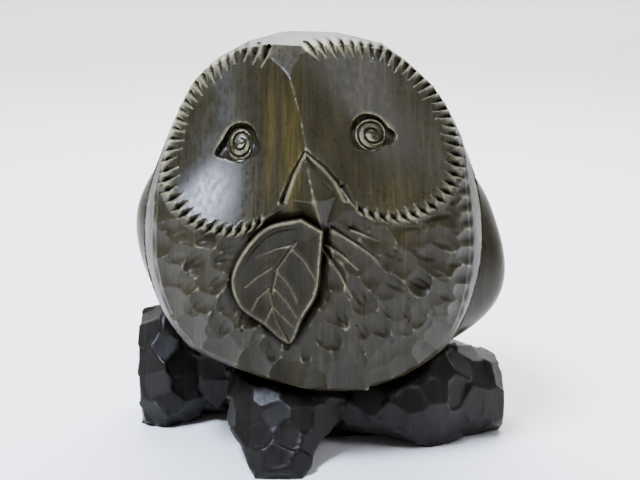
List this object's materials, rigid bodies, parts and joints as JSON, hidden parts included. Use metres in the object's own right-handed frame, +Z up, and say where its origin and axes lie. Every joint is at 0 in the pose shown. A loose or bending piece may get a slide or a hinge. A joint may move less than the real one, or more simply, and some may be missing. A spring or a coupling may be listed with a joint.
{
  "type": "carved owl figurine",
  "caption": "Round carved wooden owl with dished facial discs, toothed edges, spiral eyes and a leaf held in its beak, on a faceted root-shaped stand.",
  "frame": {"origin": "on the surface the figure stands on, under the middle of the bounding box", "axes": "+Z up; the owl's face looks along -Y and 14 degrees upwards; +X to the viewer's right"},
  "size_m": [0.189, 0.1316, 0.2052],
  "materials": {
    "owl_wood": "dark stained and oiled, satin, with a light vertical grain",
    "stand_wood": "near-black stained and oiled, knife-faceted"
  },
  "bodies": {
    "root": {"owl": "owl_wood", "root_stand": "stand_wood"}
  },
  "joints": []
}
